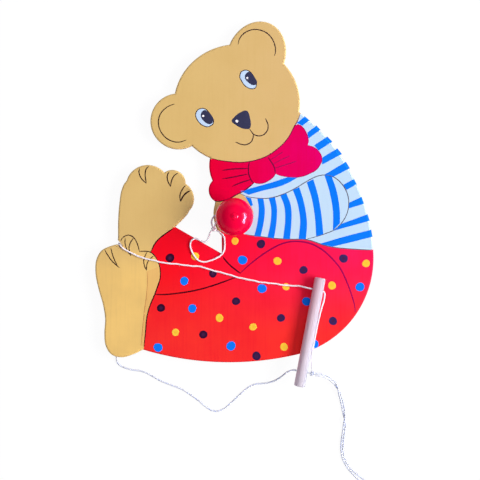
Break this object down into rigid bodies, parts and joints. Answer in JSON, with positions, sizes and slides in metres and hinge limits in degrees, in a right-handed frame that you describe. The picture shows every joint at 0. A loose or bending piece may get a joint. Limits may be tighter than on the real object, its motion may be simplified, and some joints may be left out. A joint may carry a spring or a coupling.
{
  "type": "wooden pull-along bear",
  "caption": "Flat painted plywood bear with a rocker underside, a red turned ball on a pin at its paw, and a dowel handle on a pull cord that passes round its foot.",
  "frame": {"origin": "on the board's flat back face, under the axis of the pin that carries the ball", "axes": "+Z from the back face to the painted front, +Y towards the bear's head, +X towards its rump"},
  "size_m": [0.2605, 0.4547, 0.0466],
  "materials": {
    "painted_board": "plywood with thin matt water paint in tan, red, magenta, pale blue and dark lines",
    "red_lacquer": "turned wood under gloss red lacquer",
    "bare_wood": "sanded pale dowel, no varnish",
    "cord": "white twisted cotton cord"
  },
  "bodies": {
    "bear": {"bear_board": "painted_board", "ball_pin": "red_lacquer", "cord_front": "cord", "cord_behind_foot": "cord", "cord_ground": "cord", "cord_tail": "cord", "cord_coil": "cord", "end_knot": "cord", "coil_tie": "cord", "loop_round_pin": "cord", "loop_hanging": "cord", "loop_knot": "cord"},
    "ball": {"ball": "red_lacquer"},
    "handle": {"handle_dowel": "bare_wood", "cord_handle_run": "cord", "cord_low_pass": "cord", "handle_knot": "cord"}
  },
  "joints": [
    {"name": "ball_spin", "type": "hinge", "parent": "bear", "child": "ball", "pos_m": [0, 0, 0.0287], "axis": [0, 0, 1], "continuous": true},
    {"name": "handle_draw", "type": "slide", "parent": "bear", "child": "handle", "axis": [0.9818, -0.19, 0], "range_m": [-0.03, 0.015], "deforming": ["cord_front", "cord_ground", "cord_tail"]}
  ]
}
